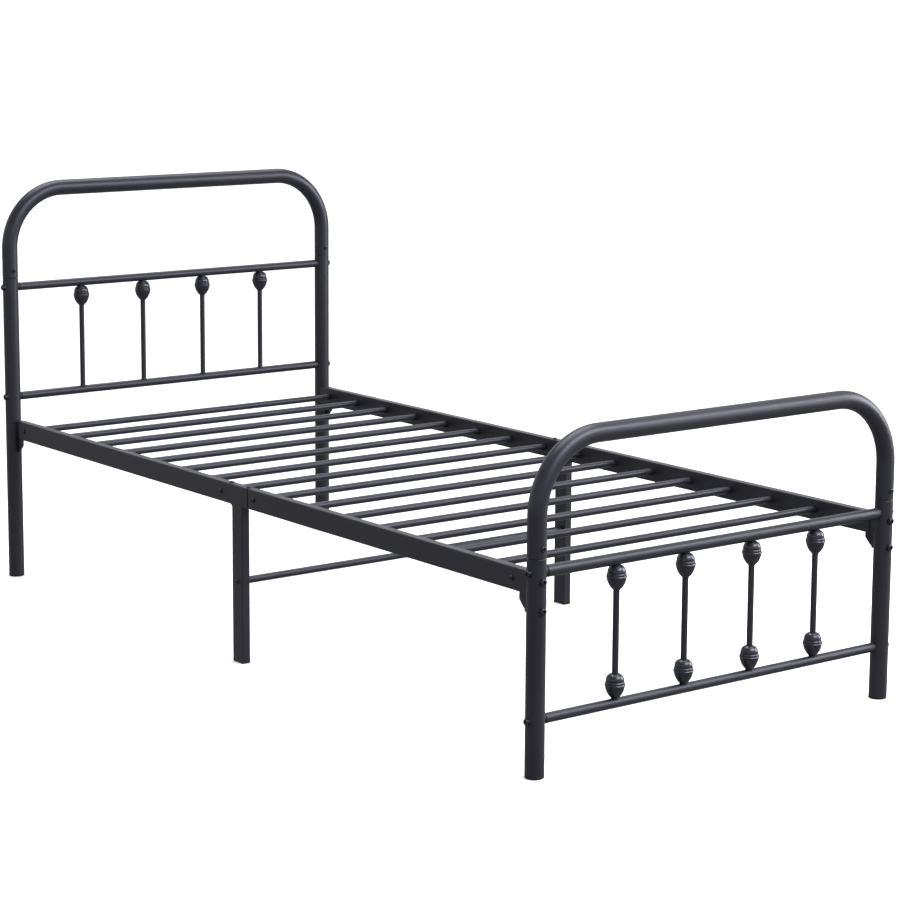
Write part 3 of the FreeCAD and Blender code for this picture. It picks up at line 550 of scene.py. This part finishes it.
def saddle_cut(spindle, rail, x, y):
    """Cut the end of a spindle to the round rail that it is welded to."""
    bpy.ops.mesh.primitive_cylinder_add(
        vertices=CUTTER_SIDES, radius=rail_radius(rail), depth=CUTTER_LENGTH,
        location=(x, y, axis_height(rail)), rotation=(0, math.pi / 2, 0))
    cut_away(spindle, bpy.context.object)


for end, along in ENDS:
    top_rail = end + "_top_rail"
    low_rail = end + "_bottom_rail"
    for number in range(1, SPINDLES + 1):
        node = "%s_spindle_%d" % (end, number)
        low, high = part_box(node)
        x = (low[0] + high[0]) / 2
        y = (low[1] + high[1]) / 2
        radius = (high[0] - low[0]) / 2
        bottom = axis_height(low_rail)
        top = axis_height(top_rail)
        low_face = rail_radius(low_rail)
        high_face = top - bottom - rail_radius(top_rail)
        outline = [(radius + BEAD_SWELL, SPINDLE_TUCK), (radius + BEAD_SWELL, low_face)]
        for step in range(1, BEAD_STEPS + 1):
            angle = step / BEAD_STEPS * math.pi / 2
            outline.append((radius + BEAD_SWELL * (1 - math.sin(angle)),
                            low_face + BEAD_RISE * (1 - math.cos(angle))))
        outline += [(radius, high_face), (radius, top - bottom - SPINDLE_TUCK)]
        spindle = turn_piece((x, y, bottom), outline, SPINDLE_SIDES)
        fill_flat_ends(spindle)
        close_skin(spindle)
        saddle_cut(spindle, low_rail, x, y)
        saddle_cut(spindle, top_rail, x, y)
        bpy.ops.object.shade_smooth_by_angle(angle=math.radians(SPINDLE_SMOOTH))
        hand_over(spindle, node + "_tube", tube_coat, "powder_coat", node)

# ------------------------------------------------------------------------------------
# Knobs: twelve turned beads, threaded on the spindles before welding. Each has a curved
# belly on a narrow heel, a stepped ring and a dome, in a smoother and glossier black.
# ------------------------------------------------------------------------------------

KNOB_SIDES = 80
KNOB_ROWS = (("head_knobs", "head"), ("foot_upper_knobs", "foot"), ("foot_lower_knobs", "foot"))
KNOB_PLAY = 0.00005
KNOB_BREAK = 0.00035
KNOB_BREAK_ANGLE = 25
KNOB_SMOOTH = 60
KNOB_DARK = (0.0080, 0.0079, 0.0100, 1)
KNOB_LIGHT = (0.0125, 0.0123, 0.0155, 1)
KNOB_CLOUDS = 60
LATHE_LINES = 900
LATHE_STRETCH = (0.02, 0.02, 1.0)
KNOB_RELIEF = 0.00005
# The outline's corners from the heel up, in parts of the knob's radius and its height,
# and how round the heel, belly and dome are between them, in parts of the radius.
KNOB_HEEL = ((0.36, 0.0), (0.5, 0.07))
KNOB_RINGS = ((0.95, 0.50), (1.0, 0.52), (1.0, 0.55), (0.95, 0.575), (0.942, 0.60),
              (0.95, 0.625), (0.95, 0.65), (0.90, 0.67), (0.87, 0.685), (0.87, 0.70),
              (0.88, 0.72))
KNOB_DOME = ((0.50, 0.985), (0.40, 1.0))
HEEL_BEND = 0.3
BELLY_BEND = 1.9
DOME_BEND = 0.66
CURVE_STEPS = 14


def bowed(start, stop, radius, left_turn):
    """Points of an arc of a radius, from just after one point up to another."""
    run = Vector(stop) - Vector(start)
    side = Vector((-run.y, run.x)).normalized() * (1 if left_turn else -1)
    away = math.sqrt(radius ** 2 - (run.length / 2) ** 2)
    centre = (Vector(start) + Vector(stop)) / 2 + side * away
    return rounded_corner(start, stop, centre, CURVE_STEPS)


def knob_outline(bore, wide, tall):
    """A knob's outline, round its heel, belly and dome, and back down its bore."""
    foot, heel = [(out * wide, up * tall) for out, up in KNOB_HEEL]
    rings = [(out * wide, up * tall) for out, up in KNOB_RINGS]
    dome, crown = [(out * wide, up * tall) for out, up in KNOB_DOME]
    outline = [(bore, 0), foot]
    outline += bowed(foot, heel, wide * HEEL_BEND, False)
    outline += bowed(heel, rings[0], wide * BELLY_BEND, True)
    outline += rings[1:]
    outline += bowed(rings[-1], dome, wide * DOME_BEND, True)
    return outline + [crown, (bore, tall), (bore, 0)]


def knob_paint(name):
    """The same charcoal over turned metal: less grain, a wet-looking sheen, faint lathe lines."""
    paint = Finish(name)
    cloud = paint.noise(KNOB_CLOUDS, detail=2)
    lathe = paint.noise(LATHE_LINES, detail=1, stretch=LATHE_STRETCH)
    paint.set(
        base_color=paint.blend(cloud, KNOB_DARK, KNOB_LIGHT),
        roughness=0.27 + cloud * 0.06,
        specular_tint=COAT_TINT,
        normal=paint.bump(lathe * 0.7 + cloud * 0.3, KNOB_RELIEF))
    return paint.material


knob_coat = knob_paint("knob_coat")
for row, end in KNOB_ROWS:
    low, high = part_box(row)
    knob_radius = (high[1] - low[1]) / 2
    knob_height = high[2] - low[2]
    for number in range(1, SPINDLES + 1):
        spindle_low, spindle_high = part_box("%s_spindle_%d" % (end, number))
        bore = (spindle_high[0] - spindle_low[0]) / 2 + KNOB_PLAY
        centre = ((spindle_low[0] + spindle_high[0]) / 2, (low[1] + high[1]) / 2, low[2])
        knob = turn_piece(centre, knob_outline(bore, knob_radius, knob_height), KNOB_SIDES)
        close_skin(knob)
        break_edges(knob, KNOB_BREAK, KNOB_BREAK_ANGLE)
        smooth_off(knob, KNOB_SMOOTH)
        hand_over(knob, "%s_%d" % (row, number), knob_coat, "knob_coat", row)

# ------------------------------------------------------------------------------------
# Side rails: 20 x 45 mm tube in two halves a side, sockets punched in the inner wall,
# every cut edge deburred before it was coated.
# ------------------------------------------------------------------------------------

DEBURR = 0.0005
DEBURR_ANGLE = 40
SOLID_MERGE = 0.000005
COPLANAR = 0.5


def deburred(node, name, material, slot, width=DEBURR):
    """A copy of a solid's skin with its coplanar faces joined and its sharp edges broken."""
    piece = bpy.data.objects.new(name, nodes[node].data.copy())
    scene.collection.objects.link(piece)
    select_only(piece)
    bpy.ops.mesh.customdata_custom_splitnormals_clear()
    bpy.ops.object.mode_set(mode="EDIT")
    bpy.ops.mesh.select_all(action="SELECT")
    bpy.ops.mesh.remove_doubles(threshold=SOLID_MERGE)
    bpy.ops.mesh.dissolve_limited(angle_limit=math.radians(COPLANAR))
    bpy.ops.object.mode_set(mode="OBJECT")
    break_edges(piece, width, DEBURR_ANGLE)
    smooth_off(piece)
    hand_over(piece, name, material, slot, node)


for end, along in ENDS:
    for side, across in SIDES:
        node = "%s_%s_side_rail" % (end, side)
        deburred(node, node + "_tube", tube_coat, "powder_coat")

# ------------------------------------------------------------------------------------
# Slats: fifteen 16 mm tubes across the bed. Most push into the rails' sockets, and
# three are bolted against the inner wall.
# ------------------------------------------------------------------------------------

SLATS = 15
SLAT_WALL = 0.001
SLAT_SIDES = 44

for number in range(1, SLATS + 1):
    node = "slat_%02d" % number
    cut_crosswise(node + "_tube", node, SLAT_WALL, SLAT_SIDES)

# ------------------------------------------------------------------------------------
# Corner brackets: a thick tapped flange on the post, a wing inside the side rail and a
# gusset under it, welded together and coated with the rest.
# ------------------------------------------------------------------------------------

for end, along in ENDS:
    for side, across in SIDES:
        node = "%s_bracket_%s" % (end, side)
        deburred(node, node + "_plates", tube_coat, "powder_coat")

# ------------------------------------------------------------------------------------
# Centre legs: a rectangular tube welded under a short crosshead, with the weld ground
# to a curve at each side, and a plastic cap pushed in below.
# ------------------------------------------------------------------------------------

LEG_CAP_BREAK = 0.0006

for side, across in SIDES:
    node = "centre_leg_" + side
    deburred(node, node + "_welded", tube_coat, "powder_coat")
deburred("leg_caps", "leg_caps_moulded", black_plastic, "black_plastic", LEG_CAP_BREAK)

# ------------------------------------------------------------------------------------
# Cross bar: a 16 mm tube that ties the two centre legs, bolted through each of them.
# ------------------------------------------------------------------------------------

cut_crosswise("cross_bar_tube", "cross_bar", PANEL_WALL, SLAT_SIDES)

# ------------------------------------------------------------------------------------
# Hidden steel: sleeves under the arches, stubs in the rail joints, threaded inserts
# and nuts. The stubs are coated, and the rest is bright zinc.
# ------------------------------------------------------------------------------------

ZINC_COOL = (0.50, 0.53, 0.57, 1)
ZINC_WARM = (0.60, 0.58, 0.52, 1)
ZINC_CLOUDS = 40
DRAWN_LINES = 1200
DRAWN_STRETCH = (1.0, 1.0, 0.05)
ZINC_RELIEF = 0.00003


def zinc_plate(name):
    """Bright zinc: a metal with drawn lines and a faint blue to straw passivation."""
    zinc = Finish(name)
    tint = zinc.step(zinc.noise(ZINC_CLOUDS, detail=3), 0.35, 0.65)
    drawn = zinc.noise(DRAWN_LINES, detail=2, stretch=DRAWN_STRETCH)
    zinc.set(
        base_color=zinc.blend(tint, ZINC_COOL, ZINC_WARM),
        metallic=1.0,
        roughness=0.28 + drawn * 0.18,
        normal=zinc.bump(drawn, ZINC_RELIEF))
    return zinc.material


zinc_steel = zinc_plate("zinc_steel")
for node in ("arch_sleeves", "threaded_inserts", "rail_nuts"):
    for slot in nodes[node].material_slots:
        slot.material = zinc_steel
for slot in nodes["joint_stubs"].material_slots:
    slot.material = tube_coat

# ------------------------------------------------------------------------------------
# Bolts: black button heads with a hexagon socket. The M8 ones stand on saddle washers
# at the posts, and the M6 ones hold the arches, slats, joints and cross bar.
# ------------------------------------------------------------------------------------

BOLT_DARK = (0.0035, 0.0035, 0.0040, 1)
BOLT_LIGHT = (0.0090, 0.0088, 0.0100, 1)
WEAR_PATCHES = 350
OXIDE_GRAIN = 2600
OXIDE_RELIEF = 0.00003
BOLT_SIDES = 48
DOME_STEPS = 10
HEAD_CROWN = 0.3
HEAD_BRIM = 0.25
HEAD_FULLNESS = 0.9
HEAD_EDGE = 0.0003
HEAD_SMOOTH = 30
KEY_DEPTH = 0.7
TIP_RADIUS = 0.82
TIP_BEVEL = 0.0008
LARGE = {"shank": 0.004, "head": 0.014, "rise": 0.0042, "key": 0.005}
SMALL = {"shank": 0.003, "head": 0.0115, "rise": 0.0033, "key": 0.004}
WASHER_RISE = 0.0012
SCREW_RISE = 0.020
BRACKET_BOLTS = (0.382, 0.326)
BOLTED_SLATS = (1, 8, 9)
FOOT_BOLT_INSET = 0.070
JOINT_SCREW_Y = 0.034
PANEL_BOLT_LENGTH = 0.0576
BRACKET_BOLT_LENGTH = 0.0442
SCREW_LENGTH = 0.0065
RAIL_BOLT_LENGTH = 0.0308
FOOT_BOLT_LENGTH = 0.0185
WASHER_BREAK = 0.00025


def black_oxide(name):
    """Blackened steel: a semi-gloss skin, a little worn to a lighter tone in patches."""
    oxide = Finish(name)
    patch = oxide.step(oxide.noise(WEAR_PATCHES, detail=4, roughness=0.6), 0.4, 0.72)
    fine = oxide.noise(OXIDE_GRAIN, detail=2)
    oxide.set(
        base_color=oxide.blend(patch, BOLT_DARK, BOLT_LIGHT),
        roughness=0.22 + patch * 0.12 + fine * 0.08,
        specular_tint=COAT_TINT,
        normal=oxide.bump(fine, OXIDE_RELIEF))
    return oxide.material


bolt_black = black_oxide("bolt_black")


def make_bolt(name, sizes, length):
    """A button-head bolt with its seat at the origin and its head upwards."""
    head = sizes["head"] / 2
    rise = sizes["rise"]
    crown = sizes["head"] * HEAD_CROWN
    brim = rise * HEAD_BRIM
    shank = sizes["shank"]
    outline = [(shank * TIP_RADIUS, -length), (shank, TIP_BEVEL - length), (shank, 0),
               (head - HEAD_EDGE, 0), (head, HEAD_EDGE), (head, brim)]
    for step in range(1, DOME_STEPS + 1):
        angle = step / DOME_STEPS * math.pi / 2
        outline.append((crown + (head - crown) * math.cos(angle) ** HEAD_FULLNESS,
                        brim + (rise - brim) * math.sin(angle)))
    bolt = turn_piece((0, 0, 0), outline, BOLT_SIDES)
    fill_flat_ends(bolt)
    close_skin(bolt)
    bpy.ops.mesh.primitive_cylinder_add(
        vertices=6, radius=sizes["key"] / math.sqrt(3), depth=rise * KEY_DEPTH * 2,
        location=(0, 0, rise))
    cut_away(bolt, bpy.context.object)
    bpy.ops.object.shade_smooth_by_angle(angle=math.radians(HEAD_SMOOTH))
    bolt.name = name
    return bolt


HEADS = {
    "+x": Matrix.Rotation(math.pi / 2, 4, "Y"),
    "-x": Matrix.Rotation(-math.pi / 2, 4, "Y"),
    "+y": Matrix.Rotation(-math.pi / 2, 4, "X"),
    "-y": Matrix.Rotation(math.pi / 2, 4, "X"),
    "+z": Matrix.Identity(4),
}
spanner = random.Random(11)


def drive_bolts(master, row, spots):
    """Copy a bolt to each spot, its socket left at whatever angle the key stopped."""
    for number, (place, facing) in enumerate(spots, start=1):
        select_only(master)
        bpy.ops.object.duplicate(linked=False)
        bolt = bpy.context.object
        stop = Matrix.Rotation(spanner.uniform(0, math.pi / 3), 4, "Z")
        bolt.matrix_world = Matrix.Translation(place) @ HEADS[facing] @ stop
        bpy.ops.object.transform_apply(location=True, rotation=True, scale=True)
        hand_over(bolt, "%s_%02d" % (row[1], number), bolt_black, "bolt_black", row[0])
    bpy.data.objects.remove(master, do_unlink=True)


corners = []
for end, along in ENDS:
    for side, across in SIDES:
        low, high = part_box("%s_post_%s" % (end, side))
        corners.append((end, along, across,
                        (low[0] + high[0]) / 2, (low[1] + high[1]) / 2, high[2]))
stand = POST_RADIUS + WASHER_RISE
x_face = {1: "+x", -1: "-x"}
y_face = {1: "+y", -1: "-y"}

panel_spots = [
    ((x + stand * across, y, axis_height(rail)), x_face[across])
    for end, along, across, x, y, seam in corners
    for rail, rail_end in PANEL_RAILS if rail_end == end]
drive_bolts(make_bolt("panel_bolt", LARGE, PANEL_BOLT_LENGTH),
            ("panel_bolts", "panel_bolt"), panel_spots)

bracket_spots = [
    ((x, y + stand * along, level), y_face[along])
    for end, along, across, x, y, seam in corners
    for level in BRACKET_BOLTS]
drive_bolts(make_bolt("bracket_bolt", LARGE, BRACKET_BOLT_LENGTH),
            ("bracket_bolts", "bracket_bolt"), bracket_spots)

rail_low, rail_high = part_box("head_right_side_rail")
rail_face = rail_high[0]
rail_middle = (rail_low[0] + rail_high[0]) / 2
rail_top = rail_high[2]
screw_spots = [
    ((x, y - POST_RADIUS, seam + SCREW_RISE), "-y")
    for end, along, across, x, y, seam in corners]
screw_spots += [
    ((rail_middle * across, JOINT_SCREW_Y * sign, rail_top), "+z")
    for side, across in SIDES
    for sign in (-1, 1)]
drive_bolts(make_bolt("button_screw", SMALL, SCREW_LENGTH),
            ("button_screws", "button_screw"), screw_spots)

slat_height = axis_height("slat_01")
rail_bolt_spots = []
for number in BOLTED_SLATS:
    low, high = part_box("slat_%02d" % number)
    slat_y = (low[1] + high[1]) / 2
    rail_bolt_spots += [
        ((rail_face * across, slat_y, slat_height), x_face[across])
        for side, across in SIDES]
rail_bolt_spots += [
    ((rail_face * across, 0, axis_height("cross_bar")), x_face[across])
    for side, across in SIDES]
drive_bolts(make_bolt("rail_bolt", SMALL, RAIL_BOLT_LENGTH),
            ("rail_bolts", "rail_bolt"), rail_bolt_spots)

foot_low, foot_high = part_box("foot_post_left")
foot_y = (foot_low[1] + foot_high[1]) / 2 + FOOT_BOLT_INSET
foot_bolt_spots = [
    ((rail_face * across, foot_y, slat_height), x_face[across])
    for side, across in SIDES]
drive_bolts(make_bolt("foot_bolt", SMALL, FOOT_BOLT_LENGTH),
            ("rail_bolts", "foot_rail_bolt"), foot_bolt_spots)

deburred("saddle_washers", "saddle_washers_pressed", bolt_black, "bolt_black", WASHER_BREAK)
